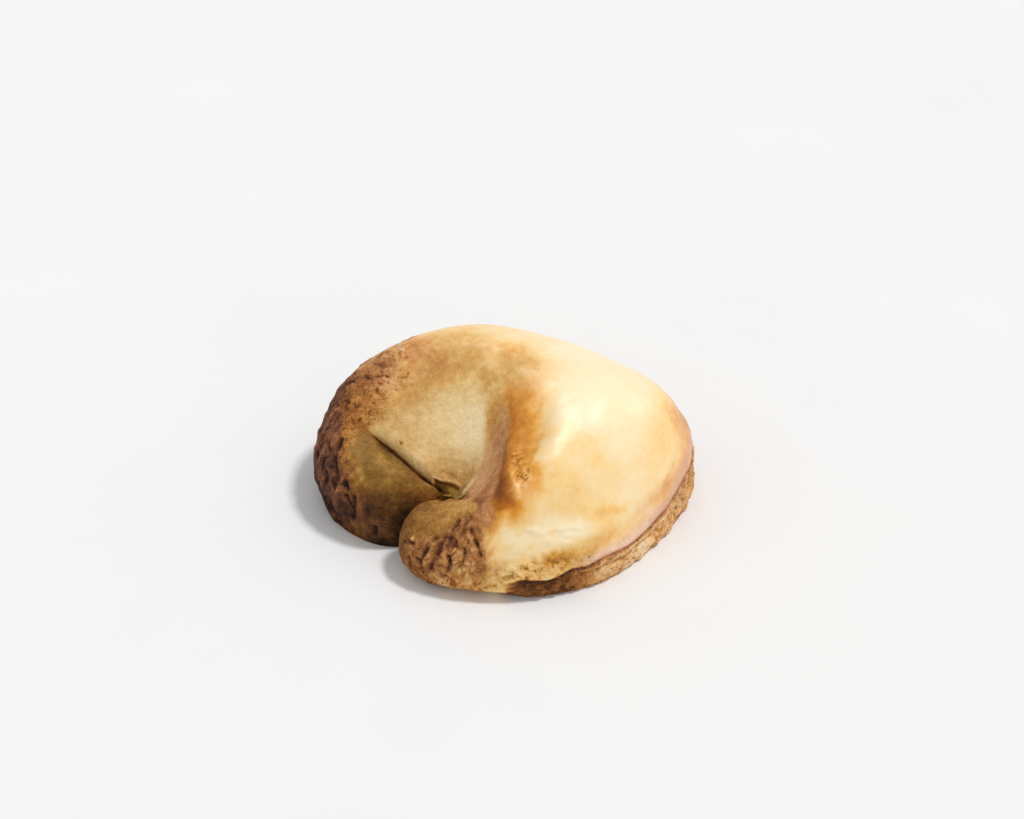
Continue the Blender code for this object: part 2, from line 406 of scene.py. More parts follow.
# the seam and the roll over it: heading, height over the table
SEAM_LINE = (
    (150, 10), (208, 8.2), (284, 6), (296, 7.2), (300, 7.7), (308, 6.9), (312, 6.3), (316, 7.3), (319, 8.6),
    (326, 8.5), (330, 9.5), (336, 9.8), (340, 9.2), (345, 9), (350, 9.9), (355, 10.8), (361, 11.9),
    (364, 13.1), (368, 13.7), (373, 13.9), (376, 16), (390, 15), (420, 13), (472, 11.5),
)
ROLL_LINE = (
    (300, 10.5), (326, 10.8), (340, 10.6), (351, 12.5), (362, 14.8), (368, 17.8), (376, 20.3), (392, 21.5),
    (420, 19.5), (472, 16), (560, 15),
)
# how brown the band inside the crest and the lip are: heading, bake
BAND_BAKE = (
    (0, 0.47), (12, 0.45), (30, 0.41), (46, 0.36), (62, 0.3), (90, 0.3), (282, 0.44), (300, 0.46),
    (312, 0.5), (325, 0.54), (345, 0.49),
)
LIP_BAKE = (
    (285, 0.68), (300, 0.68), (306, 0.64), (312, 0.6), (320, 0.56), (326, 0.43), (332, 0.34), (340, 0.28),
    (348, 0.25), (356, 0.25), (366, 0.37), (375, 0.37), (395, 0.36), (430, 0.43), (470, 0.54),
)

# dome, ridge and back, and pink marks on the glaze: x, y, z of places and of lines through places
RIDGE_TOP = ((1.2, 11.7, 45.9), (2.7, 5.6, 44.3), (3.4, -0.5, 42), (4.8, -5.7, 40.6))
RIDGE_GOLD = (
    (4.8, -6.7, 40.3), (3.7, -13.6, 37.1), (3.5, -20.4, 34.7), (2.8, -26.4, 33), (1.2, -34.9, 30.9),
    (0.3, -40.9, 28), (-1.1, -43.2, 25),
)
RIDGE_CORE = (
    (1.1, -3.1, 38.7), (1.4, -6.7, 37.4), (1.6, -11.4, 35.4), (0.9, -14.6, 33.4), (-0.7, -19.3, 30.2),
)
RIDGE_BROAD = ((7.2, -6, 41), (6.8, -13, 38.5), (6.6, -20, 36.4))
VALLEY = ((-1.2, -20.8, 29.4), (-2, -31.2, 28.8), (-1.8, -39.7, 27.6), (-3.4, -42.2, 25))
BACK_GOLD = ((-36, 22.5, 38.5), (-28.6, 21, 41), (-22.7, 19.2, 41.9), (-16.6, 18, 42.4), (-11.4, 16.6, 43))
DOME_GOLD = ((14, -41, 27.5), (17.6, -41.9, 26.6), (24.9, -40.3, 24.2), (33.9, -35.1, 21.9))
HIGHLIGHT_STREAK = ((2, -27.6, 31.5), (2.6, -33.6, 32.4), (3.5, -38.5, 32.4), (4.3, -40.8, 31.1))
BLISTERED = ((3.2, -24.2, 34), (4.6, -29, 33.6), (5.6, -35.3, 34))
SQUIGGLES = (
    ((5.3, -24.1, 34.4), (6.2, -26.2, 35.2), (6.4, -27.7, 35.1), (5.7, -28.3, 34.6), (4.7, -26, 33.7)),
    ((2.8, -24.7, 33.1), (3.4, -26.5, 33.3), (3.9, -27.7, 33.2), (3.5, -28.5, 32.8)),
    ((2.4, -27.3, 31.9), (3.6, -29.4, 32.7), (4.4, -31.4, 33.5), (5.2, -31.1, 33.7), (6.1, -30.9, 34.5)),
    ((4.5, -32.6, 33.2), (5.3, -35.3, 33.8), (6, -36.7, 33.8), (6.6, -36.4, 34.1)),
    ((6.8, -32.8, 35.2), (7.1, -34.2, 35.1)), ((1.6, -24.4, 32), (2, -27, 31.7), (2.4, -29.6, 31.7)),
)
# pink marks: on the roll above the seam, painted glints; beside the ridge, pale pink flecks
PINK_GLINTS_AND_FLECKS = (
    (31.5, -39.8, 11.7), (34.1, -37.5, 11.7), (35.5, -36, 11.6), (37.6, -33.7, 11.7), (11.4, -25.1, 39.1),
    (12.7, -28.6, 39.5), (11.7, -31.8, 38.2), (13.5, -34.8, 37.6), (15, -26.6, 40.9),
)
RUSTY_PATCH = (-32, 21, 39)
STREAK_FOOT = (4.7, -39.2, 32.2)
DULL_CREST = (3.7, 5.3, 45)

# front flange, corner and lip
FLANGE_PALE = ((1, -46.5, 19), (8, -47.5, 18.5), (15, -46.4, 19), (22, -43.5, 20))
FRONT_PALE_HIGHLIGHT = ((11.8, -46.9, 20), (17.5, -45.4, 20.5), (26.2, -42, 20))
FRONT_GOLD = ((13, -48.4, 14), (16, -48, 14.2), (20.8, -46.1, 12.8), (25, -44.2, 13.4))
BORDER_TOP = ((-8, -37, 25.5), (-6.1, -39.7, 25.3), (-5, -42.4, 23.7))
BORDER_LOW = ((-4.4, -44.5, 21), (-3.6, -47, 17), (-3.6, -49.4, 11), (-3.6, -50, 6))
BORDER_SHADE = (-8, -36.5, 25.3)
ROSY_CORNER = (43, -27.5, 14.1)
WRINKLES = (
    ((7.4, -45.9, 22.9), (11.7, -46, 22.2), (16.1, -44.8, 22.2), (21, -43, 22.4), (24.8, -42.3, 21.4)),
    ((11.8, -46.9, 19.9), (16, -46.7, 18.9), (19.9, -45.4, 18.7)),
    ((19.2, -45.1, 20.4), (21.8, -44.2, 20.3)),
)
CRUMB_RUN = (
    (-6, -50.6, 7), (-1, -50.8, 9), (3.5, -50.5, 10.5), (9.1, -50.1, 11), (16.2, -47.4, 12),
    (21.7, -45.6, 11.7), (24.5, -45.4, 9.4),
)
KNOB = (11.9, -48.4, 16)
RING = ((11.9, -48.8, 13.3), (13.2, -48.6, 12.3), (14.2, -48.9, 10.8), (13.1, -49.4, 9.5))

# the bend's bottom, and marks beside the crease; the pocket's line, the dimple and the pinhole carry
# painted shade
POCKET_SHADOW_LINE = ((-19.6, -15, 14.6), (-19.4, -18.4, 14.2), (-19, -22.6, 16))
TEAR_FOLD = ((-20.6, -13.6, 19), (-18.6, -12.6, 19.4), (-16.4, -13, 18.6), (-14.6, -13.4, 17.8))
BOWL_SHADE = (-17.5, -9.5, 19)
DIMPLE = (-34.4, -8, 25)
PINHOLE = (-30.8, -7.3, 26)

# tip; each slit and strand starts with its half width
STRAND_RUN = (-0.6, -0.42, -0.68)
BROW = (
    (-31.5, -35, 10.5), (-26.5, -38.6, 14.9), (-22.6, -40.6, 16.8), (-19, -41.3, 18.2),
    (-16.6, -40.8, 19.9), (-13.4, -39.2, 21.6), (-10.5, -38.4, 23.2),
)
BROW_SHADE = (-29, -38, 12)
TIP_RIM_SHADE = (
    (-28.9, -32.5, 15), (-26.8, -30.4, 16.9), (-24.7, -28.2, 17.5), (-22.5, -26.1, 17.4),
    (-20.4, -24, 16.7), (-16.8, -25.2, 18.2), (-13.1, -25.4, 18.8),
)
SLITS = (
    (0.75, (-13.1, -39.7, 21.5), (-14.3, -41, 20.1), (-15.2, -41.9, 18.4), (-15.6, -43.7, 17.4)),
    (
        0.95, (-16.6, -42.6, 17.8), (-18.4, -44.1, 15.9), (-19.2, -44.9, 14.4), (-20.3, -45.1, 11.1),
        (-21.1, -45.9, 9),
    ),
    (0.5, (-13.7, -44.4, 17.9), (-14, -45.2, 16.4), (-12.7, -45.5, 15.9)),
    (0.6, (-16.3, -46.4, 13.8), (-15.9, -47.2, 11.3), (-16.5, -47.7, 9.8)),
    (
        0.65, (-9.3, -42.8, 20.8), (-8.6, -44.6, 20), (-7.9, -45.6, 18.5), (-7.2, -46.6, 16.7),
        (-6.7, -47.9, 15.4),
    ),
    (0.5, (-29.6, -37.5, 12.3), (-27.9, -38.2, 12.9), (-26.5, -40.3, 13.8)),
    (0.5, (-26.3, -41.7, 11.2), (-25.8, -42.3, 10.2), (-24.8, -43.8, 10.1)),
    (0.55, (-27.8, -41.4, 9.5), (-27.2, -42, 7)), (0.45, (-20.5, -46.7, 6.2), (-19.5, -47.1, 4.9)),
    (0.55, (-22, -43.5, 14.3), (-23.3, -44, 11.8), (-24.2, -44.3, 9.5)),
    (0.5, (-11.3, -46, 16.5), (-11.5, -47.4, 14.5), (-12.4, -48, 12.7)),
    (0.45, (-9.9, -44.8, 19), (-10.5, -46, 17.4)),
)
STRANDS = (
    (0.8, (-15.9, -41.9, 18.6), (-17.1, -43.5, 16.6), (-17.4, -45.4, 14.7), (-17.9, -46.4, 12.2)),
    (0.8, (-12.4, -41, 21.2), (-13.1, -42.9, 19.7), (-13.9, -44.1, 18.2)),
    (0.7, (-14.2, -45.2, 15.8), (-14.9, -46.4, 13.6), (-14.4, -47.5, 11.3)),
    (0.8, (-9.8, -41.9, 21.7), (-10.1, -43.5, 19.9), (-9.1, -45.5, 18.6), (-8.7, -46.4, 16.5)),
    (0.7, (-21, -43.3, 15.3), (-22, -44.5, 12.7), (-23, -44.8, 9.9)),
)
FLECKS = (
    (-10.6, -48.3, 13.1), (-9.2, -49, 12.9), (-9.4, -49.3, 11.6), (-13.2, -48.5, 10.6),
    (-11.9, -48.9, 11.2), (-11, -49.6, 9.5), (-21.6, -45.5, 6.3), (-26.2, -39.3, 15),
)

# cragged left side
LOBE_RIM = ((-45.4, -6, 26), (-45.1, -11.9, 24.5), (-42.7, -17.4, 22.3), (-39.6, -21, 19.8))
LOBE_GOLD = (-39, -16.7, 24.9)
CRAG_GOLD = (-52.9, 3.6, 25)
DENTS = (
    ((-56.8, 1.5, 16.2), (-56.4, -2.4, 17)),
    ((-53.3, -9.6, 17.1), (-53.7, -10.9, 15.7), (-53.8, -10.4, 12.5)),
    ((-51.2, -13.5, 17), (-51.1, -14.1, 15.2)),
    ((-52.6, -12.8, 10.4), (-51.9, -13.4, 8.7), (-52, -13.7, 6.8)),
    ((-44.7, -20.7, 16), (-44.8, -21.1, 13.2), (-45.2, -21.1, 8.6)),
    ((-47.3, -17, 18.9), (-46.6, -18.2, 17.4)), ((-46.9, -19, 14.9), (-45.8, -19.9, 13)),
    ((-38.2, -24.9, 7.8), (-38.5, -24.1, 4.4)), ((-54.5, -6, 19.7), (-54.7, -7.3, 17)),
    ((-50.6, -11.2, 21.4), (-49.9, -13, 20)), ((-55, 1.5, 21.6), (-55.6, -1, 19.6)),
    ((-48.9, -5.3, 25.6), (-50.1, -7.4, 24.3)),
)
PITS = (
    ((-39, 11.9, 36.8), (-36.4, 12.8, 36.6), (-34.5, 11.3, 36.9)),
    ((-31.1, 11.6, 36.8), (-29.5, 11.6, 37.1), (-29, 12.7, 37.9)),
    ((-48.4, 16.5, 31), (-46, 14.4, 33.8), (-44.8, 10.8, 34.7)), ((-50.9, 10.4, 28.6), (-50.3, 8.1, 28.7)),
    ((-52.1, 9.8, 25.9), (-52.2, 8.3, 25.7)), ((-47.9, 8, 31.1), (-47, 6.4, 31.3)),
    ((-45, 3.8, 31.6), (-43.8, 4.2, 32.2)), ((-38, 10.3, 35.8), (-36.6, 8.9, 35.7)),
    ((-42, 13.6, 35.9), (-40.6, 12.1, 35.7)), ((-52.8, 4.2, 24.9), (-53.4, 2.4, 23.6)),
)
SMOOTH_PATCHES = (((-37.6, 16.7, 38.3), (-34.7, 16, 38.9)), ((-47, 1.6, 29.7), (-43.4, 0.1, 29.6)))
GOLD_FLECKS = (
    (-49.2, -9.1, 23.6), (-46.2, -12.6, 24.1), (-44.8, -14.2, 24), (-43.4, -17, 23), (-45.2, -17.5, 21.2),
    (-42.3, -19.5, 21.2), (-45.2, 9.7, 34), (-46, 6.5, 31.9), (-43, 11.1, 35.4), (-44.1, 6.1, 33),
)
ORANGE_SPOTS = ((-42, 0.3, 29.8), (-41.7, 9.2, 34.5), (-47.8, -4.3, 26.6), (-46.6, -15, 22))

# tones painted in this order: places, half width, bake, share
DOME_BAKE = 0.155
# the first spot, pale over the top of the dome, is the glaze's sheen painted in
DOME_TONES = (
    ((26, 2, 44), 22, 0.105, 0.9), ((16, 38, 40), 20, 0.07, 0.8), ((46, -8, 36), 15, 0.18, 0.9),
    ((24, -34, 28), 13, 0.25, 0.9), ((17, -32, 38), 8, 0.25, 0.8), (DOME_GOLD, 2.2, 0.33, 0.8),
    ((13.3, -33.9, 38), 6.5, 0.28, 0.7),
)
RIDGE_TONES = (
    (BACK_GOLD, 5, 0.37, 1), (RUSTY_PATCH, 9.5, 0.51, 0.95), ((-14.8, 17.7, 43.7), 7, 0.27, 0.8),
    (RIDGE_TOP, 9, 0.31, 0.8), (RIDGE_GOLD, 12, 0.32, 0.85), (RIDGE_BROAD, 3.6, 0.46, 0.9),
    (RIDGE_TOP, 4.6, 0.38, 0.85), (RIDGE_GOLD, 5.4, 0.49, 1), (RIDGE_CORE, 2.2, 0.6, 1),
    (VALLEY, 4, 0.78, 0.95),
    ((9.2, -10.1, 41.7), 2.6, 0.36, 0.8), ((10.8, -22, 39), 2.6, 0.33, 0.8),
    ((8.1, -30.4, 36.3), 2, 0.42, 0.8), ((8.2, -39.2, 33.2), 2.6, 0.46, 0.8),
    ((5.7, -32.7, 34.7), 2.8, 0.47, 0.8), ((8.2, -34.4, 35.6), 2.4, 0.45, 0.8),
    ((8.9, -26.9, 36.9), 2.2, 0.47, 0.8), ((1.3, -41.3, 28.9), 3.2, 0.7, 0.8),
    ((-5.5, -38.3, 26.3), 3, 0.66, 0.8), ((-3.6, -42.4, 24.8), 3, 0.64, 0.8),
    ((9.8, -22.7, 37.8), 2.2, 0.4, 0.8), ((9.6, -18.4, 39.3), 2, 0.3, 0.8),
    ((2.5, -44.5, 25), 2.4, 0.42, 0.8), ((6.3, -35.9, 34.2), 2, 0.4, 0.8),
    (STREAK_FOOT, 3.5, 0.27, 0.5),
)


# ---------------- the skin

def zones(points, headings, place):
    """Shares from 0 to 1 of each zone of the skin: where it is glazed, torn, cragged, pressed and so on.

    A zone's edge is an S-curve of the distance to its line, made uneven by noise. A side is a sector, and
    strokes are soft, with a ragged edge, or sharp, with a nearly clean one.
    """
    reach, past = place.reach, place.past_crown
    turned = np.broadcast_to(headings, reach.shape)
    height = points[..., 2]
    shaken, nudged = stirred(points), stirred(points, 0.35)
    side, soft, sharp = partial(sector, turned), partial(stroke, shaken), partial(stroke, nudged)
    wander = lumps(points, 3, 12)
    ragged = rough(stretched(points, STRAND_RUN, 0.7), 2.4, 22, 2)
    top = place.down <= 0
    beside = beside_crease(reach, turned)
    zone = SimpleNamespace(shaken=shaken, nudged=nudged, turned=turned, top=top, beside=beside)
    zone.base = rise(place.down, 0.95, 1)
    below_line = around(SEAM_LINE, headings) - height + 0.3 * wander
    zone.lip = rise(below_line, -0.35, 0.35) * side(296, 472, 5 + 13 * side(70, 150, 10))
    zone.lip *= rise(past, 0.6, 0.8) * fall(place.down, 0.97, 1)

    unevenness = 0.7 * wander + ragged * (1.6 * side(283, 300, 8) + 0.5 * side(300, 430, 10))
    blur = 1.1 + 4.6 * side(75, 215, 25)
    glaze = rise(reach - around(GLAZE_EDGE, headings) - unevenness, -blur, blur) * (1 - zone.lip)
    glaze *= 1 - np.maximum(0.75 * side(112, 215, 20), 0.6 * side(74, 112, 14) * fall(reach, 40, 47))
    glaze *= 1 - 0.75 * soft(DULL_CREST, 9)
    blur = 2.8 + 2.2 * side(72, 160, 20)
    zone.bowl = fall(reach - around(BOWL_EDGE, headings) + 0.6 * wander, -blur, blur)
    zone.bowl *= rise(-beside, -0.3, 0.3 + rise(reach, 20, 30)) * (1 - side(172, 300, 10))

    # painted shade: the crease's thin dark line, and a wider darkening below it on the lobe side
    crease_run = rise(reach, 3, 6) * fall(reach, 28, 34) * top
    on_lobe = np.maximum(beside, 0)
    thin = np.exp(-on_lobe / 0.45) * rise(beside, -0.35, 0.1)
    zone.crease = thin * crease_run * (0.55 + 0.45 * rise(lumps(points, 3, 27), -0.6, 0.2))
    wide = np.exp(-on_lobe / 2) * rise(beside, -0.2, 0.2)
    zone.under_crease = wide * crease_run * (0.45 + 0.55 * bell((reach - 22) / 5))

    uneven_turn = turned + 5 * ragged * rise(reach, 12, 24)
    blur = 6 + 9 * rise(reach, 24, 36) * rise(turned, 240, 260)
    zone.tip = sector(uneven_turn, 206, 290, blur) * rise(reach - around(TIP_EDGE, headings), -0.8, 0.8)
    zone.border = soft(BORDER_TOP, 3)
    zone.glaze = glaze * (1 - zone.tip) * (1 - 0.9 * zone.border)
    brow = np.interp(points[..., 0], *np.array(BROW).T[:2])
    zone.face = zone.tip * rise(brow - points[..., 1] + 0.7 * wander, -0.6, 1.6)
    zone.lobe = side(150, 206, 4) * rise(reach, 1.5, 4) * rise(beside, -0.3, 0.4)
    uneven = 1.6 * lumps(points, 5, 17) + lumps(points, 2, 18)
    zone.crag = rise(reach - around(CRAG_EDGE, headings) + uneven, -3, 4.5)
    zone.dark = rise(reach - around(DARK_EDGE, headings) + 1.4 * uneven, -3, 3)

    above_roll = height - around(ROLL_LINE, headings) + 0.5 * wander
    roll_width = np.where(above_roll > 0, 1.9 + 1.5 * side(330, 354, 10), 1.7)
    roll_width = roll_width * (1 + 0.5 * side(355, 420, 20))
    zone.roll = bell(above_roll / roll_width) * side(324, 475, 10)
    zone.roll = zone.roll * place.pressed * rise(past, 0.4, 0.7) * top
    zone.crumb = np.clip(1.3 * soft(CRUMB_RUN, 3.3), 0, 1) * top * (1 - zone.tip)
    zone.blister = soft(BLISTERED, 3)
    zone.squiggle = (0.3 + 0.7 * rise(lumps(points, 0.9, 50), -0.3, 0.3)) * strokes(nudged, SQUIGGLES, 0.42)
    zone.streak = sharp(HIGHLIGHT_STREAK, 0.8)
    zone.slit = most(sharp(places, 0.9 * half_width) for half_width, *places in SLITS) * top
    zone.strand = most(sharp(places, half_width) for half_width, *places in STRANDS) * top
    zone.dent = strokes(nudged, DENTS, 0.65)
    zone.pit = strokes(nudged, PITS, 0.45)
    zone.patch = strokes(nudged, SMOOTH_PATCHES, 2.2)
    zone.gold_fleck = strokes(nudged, GOLD_FLECKS, 0.8)

    past_tear = reach - around(TORN_EDGE, headings) - 0.26 * rough(points, 1.5, 19, 2)
    under_rim = side(66, 160, 24)
    broken = 0.35 + 0.65 * rise(lumps(points, 1.3, 29), -0.3, 0.4)
    # the pocket below the torn edge: sunk in the relief, browned and olive in the colour as painted shade
    zone.pocket = fall(past_tear, 1.2 * under_rim - 1.9, 0.4)
    # painted shade under the torn edge; its pale raised rim is bare crumb with a painted highlight
    zone.tear = bell((past_tear + 0.45) / 0.45) * under_rim * broken
    zone.tear_rim = bell((past_tear - 0.40) / 0.45) * under_rim * (0.4 + 0.6 * broken)
    zone.tear_fold = sharp(TEAR_FOLD, 0.4)
    # painted shadow beside the lobe's edge, running down into the pocket
    zone.pocket_line = sharp(POCKET_SHADOW_LINE, 0.55)
    return zone


def relief(points, headings, place, zone):
    """How far the skin stands out from the smooth form, and the fine marks that the browning needs.

    It is a sum of broad lumps everywhere, and of folds, dents, slits, strands and crumbs, each a height
    times the share of the zone or mark where it lies.
    """
    reach, past = place.reach, place.past_crown
    strand_grain = stretched(points, STRAND_RUN, 0.82)
    hanging = stretched(points, (0, 0, 1), 0.62)
    crag, face, beside = zone.crag, zone.face, zone.beside

    out = 0.35 * lumps(points, 19, 1) + 0.16 * lumps(points, 9, 2)
    out = out * (1 - 0.5 * rise(past, 0.7, 1)) + 0.04 * rough(points, 3, 3)

    # cragged left side: knobs, hanging dents, pocks
    open_crag = crag * (1 - 0.8 * zone.patch)
    hollow = rise(rough(hanging, 2.4, 5), 0.32, 0.9) * (0.5 + 0.5 * zone.dark)
    winding = furrows(hanging, 3, 6, 0.15) * rise(lumps(points, 5, 26), -0.2, 0.5)
    hollow = open_crag * np.maximum(hollow, winding * (0.35 + 0.45 * zone.dark))
    hollow = most((hollow, 1.6 * zone.dent, 0.8 * zone.pit))
    knobs = rough(points, 3.4, 4)
    out += open_crag * (0.34 * knobs * (0.55 + zone.dark) + 0.2 * rough(points, 1.5, 7)) - hollow
    out += 0.35 * zone.gold_fleck + 0.2 * zone.patch
    out += 0.09 * zone.lobe * (1 - crag) * rough(hanging, 2.2, 8)

    # tip: smooth top, then strands and slits below the brow
    grain = rough(strand_grain, 1.9, 19, 2)
    split = 0.6 * face * furrows(strand_grain, 2, 9, 0.1) * rise(lumps(points, 3, 28), -0.5, 0.3)
    split = np.maximum(split, zone.slit)
    flecks = strokes(zone.nudged, FLECKS, 0.7)
    out += face * (0.34 * grain + 0.36 * rough(points, 1.3, 16))
    out += 0.05 * zone.tip * (1 - face) * rough(points, 1.8, 43)
    out += 0.55 * zone.strand - 0.95 * split + 0.35 * flecks

    # crease, tear and pocket
    overhang = bell((beside + 1.5) / 1.3) * rise(reach, 5, 9) * fall(reach, 24, 32)
    out += 0.3 * overhang - 0.6 * zone.crease
    out -= stroke(points, DIMPLE, 3) * rise(beside, -0.3, 0.5) + 0.5 * stroke(points, PINHOLE, 0.45)
    out += 0.45 * zone.tear_rim - 0.3 * zone.tear_fold
    out -= (0.6 * zone.pocket + 0.5 * zone.pocket_line) * (1 - zone.tip)
    out += 0.05 * rough(points, 1.5, 33, 2) * fall(reach, 6, 11)

    # ridge: valley, the raised streak that carries a painted highlight, blisters
    furrow = furrows(points, 1.5, 15, 0.15)
    out += 0.4 * zone.streak - 0.35 * zone.squiggle - 0.5 * stroke(points, VALLEY, 2.8)
    out += zone.blister * (0.25 * rough(points, 1.6, 14) - 0.2 * furrow)

    # front flange, roll above the seam, lip
    wrinkle = strokes(zone.shaken, WRINKLES, 0.95)
    crumble = rise(rough(points, 1.3, 13, 2), 0.05, 0.8)
    out += 0.45 * wrinkle + zone.crumb * (0.36 * rough(points, 2.4, 11) - 0.4 * crumble)
    out += 0.5 * stroke(zone.shaken, KNOB, 1) + 0.35 * stroke(zone.nudged, RING, 0.5)
    above_roll = points[..., 2] - around(ROLL_LINE, headings)
    above_line = points[..., 2] - around(SEAM_LINE, headings)
    waist = bell((above_roll - 4.6) / 2.2) * place.pressed * rise(past, 0.5, 0.8) * zone.top
    under_roll = sector(zone.turned, 300, 476, 8) - 0.45 * sector(zone.turned, 326, 440, 16)
    out += 0.45 * zone.roll - 0.35 * waist
    out -= 0.55 * bell(above_line / 0.55) * under_roll * rise(past, 0.6, 0.8)
    chips = rise(rough(points, 1.7, 25), 0.25, 0.9)
    out += zone.lip * (0.45 * lumps(points, 4.5, 24) + 0.42 * rough(points, 1.4, 20) - 0.6 * chips)

    marks = SimpleNamespace(
        wrinkle=wrinkle, hollow=np.clip(hollow, 0, 1), knobs=knobs, split=np.clip(split, 0, 1),
        flecks=flecks, grain=grain, furrow=furrow, crumble=zone.crumb * crumble, chips=zone.lip * chips,
    )
    return out * (1 - zone.base), marks


def toned(bake, *steps):
    """Bake moved towards each step's level by its share, the later steps over the earlier."""
    for level, share in steps:
        bake = toward(bake, level, share)
    return bake


def painted(bake, points, tones):
    """Bake moved towards each tone's level by its share of a stroke through its places."""
    for places, half_width, level, share in tones:
        bake = toward(bake, level, share * stroke(points, places, half_width))
    return bake


def browning(points, headings, place, zone, marks):
    """Masks of the skin: bake from 0, pale, to 1, nearly black, and shares of glaze, olive, rose, crumb.

    Bake goes in steps of a level and a share, each laid over those before it.
    """
    reach, past = place.reach, place.past_crown
    turned, shaken, nudged = zone.turned, zone.shaken, zone.nudged
    side, soft = partial(sector, turned), partial(stroke, shaken)
    across, height = points[..., 0], points[..., 2]
    above_line = height - around(SEAM_LINE, headings)
    outside = rise(past, 0.5, 0.8)
    wander = lumps(points, 6, 41) + 0.5 * lumps(points, 2.5, 42)
    uneven_past = past + 0.03 * wander

    # egg-washed outside: pale dome, golden beside the ridge and over the back, browner above the seam
    bake = painted(np.full(reach.shape, DOME_BAKE), shaken, DOME_TONES)
    bake = toward(bake, 0.26, 0.9 * side(60, 130, 40) * rise(past, 0, 0.3))
    bake = toward(bake, 0.35, side(80, 150, 18) * fall(reach + 2 * wander, 42, 50))
    bake = painted(bake, shaken, RIDGE_TONES)
    streaks = rise(lumps(stretched(points, (0.93, 0.35, 0), 0.7), 2, 46), 0, 0.5)
    curls = furrows(points, 1.3, 48, 0.2) * rise(lumps(points, 4, 49), -0.3, 0.4)
    low_flange = soft(CRUMB_RUN, 7) * zone.glaze
    edge = side(373, 415, 10) * rise(uneven_past, 0.66, 0.9)
    edge = np.maximum(edge, side(352, 373, 12) * rise(uneven_past, 0.9, 1))
    bake = toned(
        bake,
        (0.40, 0.7 * zone.blister),
        (0.66, 0.7 * zone.blister * marks.furrow),
        # painted highlight along the raised streak
        (0.26, 0.85 * zone.streak * (0.6 + 0.4 * marks.furrow)),
        (0.66, 0.6 * zone.squiggle),
        (0.14, 0.95 * soft(FLANGE_PALE, 5.5) * zone.glaze),
        # painted highlight: a pale streak across the front flange
        (0.15, 0.9 * soft(FRONT_PALE_HIGHLIGHT, 1.8)),
        (0.31, 0.65 * streaks * soft(FLANGE_PALE, 7.5) * zone.glaze),
        (0.23, 0.6 * low_flange),
        (0.40, 0.4 * curls * low_flange),
        # pale along the flange's raised wrinkles: painted highlight
        (0.07, 0.75 * marks.wrinkle),
        (0.33, 0.95 * soft(BORDER_LOW, 4.2)),
        (0.57, 0.95 * zone.border),
        (0.30, 0.85 * zone.crumb),
        (0.50, 0.85 * soft(FRONT_GOLD, 2)),
        # darker in the crumbled dips of the flange: painted shade
        (0.56, 0.75 * marks.crumble),
        (0.36, 0.8 * side(320, 470, 20) * outside * fall(above_line + wander, 5, 12)),
        (0.28, 0.7 * side(352, 430, 20) * rise(uneven_past, 0.5, 0.75)),
        (0.46, 0.85 * edge),
        # pale and rosy over the roll: painted sheen of the glaze
        (0.21 + 0.15 * side(352, 480, 14), 0.9 * zone.roll),
        (0.20, 0.8 * soft(ROSY_CORNER, 4.5) * outside),
        (0.38, 0.4 * zone.roll * rise(lumps(nudged, 2, 45), 0.1, 0.6)),
    )
    # the roll's rose in this mask is its painted sheen
    rose = most((
        0.3 * soft(RUSTY_PATCH, 12), 0.22 * soft(STREAK_FOOT, 4), 0.5 * edge,
        0.6 * soft(ROSY_CORNER, 5.5) * outside, zone.roll * (1 - 0.5 * side(385, 480, 20)),
    ))

    # bare inside of the bend
    bare = (1 - zone.glaze) * side(282, 436, 8) * (1 - zone.lip) * (1 - zone.tip) * zone.top
    band_bake = toward(0.28, around(BAND_BAKE, headings) + 0.04 * wander, 0.25 + 0.75 * rise(reach, 7, 16))
    bowl_bake = 0.05 + 0.21 * rise(turned, 60, 140) + 0.05 * rise(reach, 14, 26) + 0.02 * wander
    bake = toned(
        bake,
        (band_bake, bare),
        (0.68, 0.9 * soft(BORDER_SHADE, 3.6)),
        (bowl_bake, zone.bowl),
        (0.40, 0.9 * zone.bowl * fall(reach, 5, 14) * side(20, 172, 30)),
    )
    bare_rose = 0.45 * bare * (1 - zone.bowl) * (1 - rise(turned, 24, 52) * fall(turned, 150, 200))
    rose = np.maximum(rose, bare_rose)

    # left side: the round lobe under the crease, cragged skin, darker and purplish towards the table
    crag_bake = 0.49 + 0.1 * wander + 0.08 * side(138, 205, 20) - 0.1 * side(60, 132, 15)
    bake = toned(
        bake,
        (0.49 + 0.43 * fall(height, 5, 31) + 0.05 * wander, zone.lobe),
        (0.50, 0.65 * soft(LOBE_GOLD, 5)),
        (crag_bake, zone.crag),
        (0.69 - 0.12 * marks.knobs + 0.06 * wander + 0.2 * fall(height, 6, 18), zone.dark),
        (0.42, 0.7 * soft(LOBE_RIM, 2.2)),
        (0.60, 0.8 * zone.patch),
        (0.52, 0.7 * soft(CRAG_GOLD, 4.5)),
        # painted shade in the hollows and dents of the cragged side
        (0.93, 0.8 * marks.hollow),
        (0.97, 0.9 * zone.dent),
        (0.36, 0.7 * zone.gold_fleck),
    )
    bake = painted(bake, nudged, ((spot, 1, 0.46, 0.8) for spot in ORANGE_SPOTS))
    rose = rose * (1 - zone.lobe) * (1 - zone.crag)
    rose = most((rose, 0.56 * zone.dark, 0.3 * zone.crag * side(60, 135, 20)))

